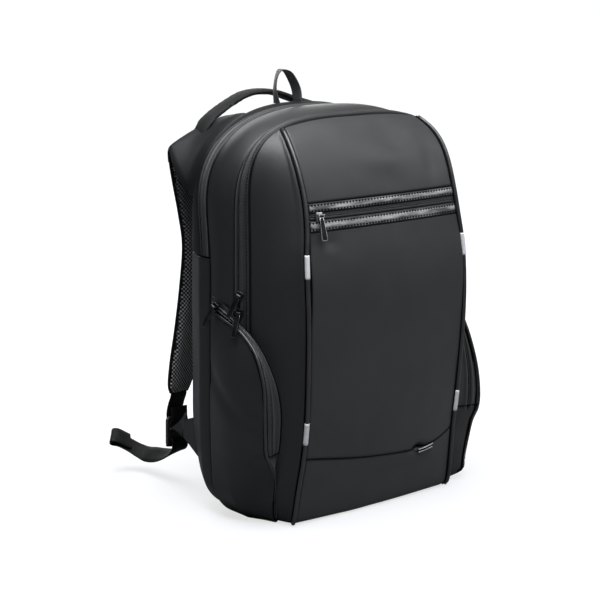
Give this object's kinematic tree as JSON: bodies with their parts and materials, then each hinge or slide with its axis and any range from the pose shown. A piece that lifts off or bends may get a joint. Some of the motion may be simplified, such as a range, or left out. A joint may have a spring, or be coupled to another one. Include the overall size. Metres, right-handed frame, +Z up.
{
  "type": "rucksack",
  "caption": "Soft laptop rucksack with arched zips, side pockets, padded shoulder straps, a grab handle and a hang loop, zipped shut and standing on its base.",
  "frame": {"origin": "middle of the base, on the floor", "axes": "+Z up, -Y towards the front panel, +Y towards the wearer, +X towards the wearer's right; left in a node's name is -X"},
  "size_m": [0.3713, 0.3577, 0.5097],
  "materials": {
    "front_cloth": "fine coated weave with a dull satin sheen",
    "side_cloth": "fine coated weave, near black",
    "spacer_mesh": "open black spacer mesh over foam",
    "zip_tape": "ribbed zip tape with a nylon coil",
    "glossy_band": "glossy coated band with dotted stitching",
    "piping": "cord covered with coated cloth",
    "reflective_trim": "pale grey reflective sleeve",
    "webbing": "flat ribbed webbing",
    "loop_tape": "grey woven tape",
    "buckle_plastic": "moulded, satin",
    "slider_metal": "polished",
    "pull_metal": "dark plated with bright edges"
  },
  "bodies": {
    "bag": {"front_panel_top": "front_cloth", "front_panel_main": "front_cloth", "front_panel_lower": "front_cloth", "back_band": "side_cloth", "side_strip_left": "side_cloth", "side_strip_right": "side_cloth", "main_band": "side_cloth", "front_gusset_left": "side_cloth", "front_gusset_right": "side_cloth", "base_panel": "side_cloth", "pocket_left": "side_cloth", "pocket_right": "side_cloth", "wing_tab_left": "side_cloth", "wing_tab_right": "side_cloth", "back_panel": "spacer_mesh", "strap_left": "spacer_mesh", "strap_right": "spacer_mesh", "zip_laptop": "zip_tape", "zip_main": "zip_tape", "front_zip": "zip_tape", "pocket_zip_left": "zip_tape", "pocket_zip_right": "zip_tape", "zip_band_upper": "glossy_band", "zip_band_lower": "glossy_band", "piping_left": "piping", "piping_right": "piping", "reflector_upper_left": "reflective_trim", "reflector_upper_right": "reflective_trim", "reflector_lower_left": "reflective_trim", "reflector_lower_right": "reflective_trim", "strap_webbing_left": "webbing", "strap_webbing_right": "webbing", "adjuster_left": "webbing", "adjuster_right": "webbing", "grab_handle": "webbing", "front_tab": "webbing", "hang_loop": "loop_tape", "ladder_lock_left": "buckle_plastic", "ladder_lock_right": "buckle_plastic", "slider_front": "slider_metal", "slider_main_upper": "slider_metal", "slider_main_lower": "slider_metal", "slider_pocket": "slider_metal", "slider_laptop": "slider_metal", "slider_pocket_right": "slider_metal"},
    "pull_front": {"pull_front": "pull_metal"},
    "pull_main_upper": {"pull_main_upper": "pull_metal"},
    "pull_main_lower": {"pull_main_lower": "pull_metal"},
    "pull_pocket": {"pull_pocket": "pull_metal"}
  },
  "joints": [
    {"name": "pull_front_swing", "type": "hinge", "parent": "bag", "child": "pull_front", "pos_m": [-0.10534, -0.08603, 0.36114], "axis": [-0.9984, 0.0566, 0], "range_deg": [0, 150]},
    {"name": "pull_main_upper_swing", "type": "hinge", "parent": "bag", "child": "pull_main_upper", "pos_m": [-0.16837, -0.01768, 0.268], "axis": [-0.3744, 0.8424, 0.3875], "range_deg": [0, 150]},
    {"name": "pull_main_lower_swing", "type": "hinge", "parent": "bag", "child": "pull_main_lower", "pos_m": [-0.16837, -0.01768, 0.248], "axis": [-0.4051, 0.9114, 0.0729], "range_deg": [0, 100]},
    {"name": "pull_pocket_swing", "type": "hinge", "parent": "bag", "child": "pull_pocket", "pos_m": [-0.17795, 0.015, 0.252], "axis": [0, 0.8944, 0.4472], "range_deg": [0, 150]}
  ]
}
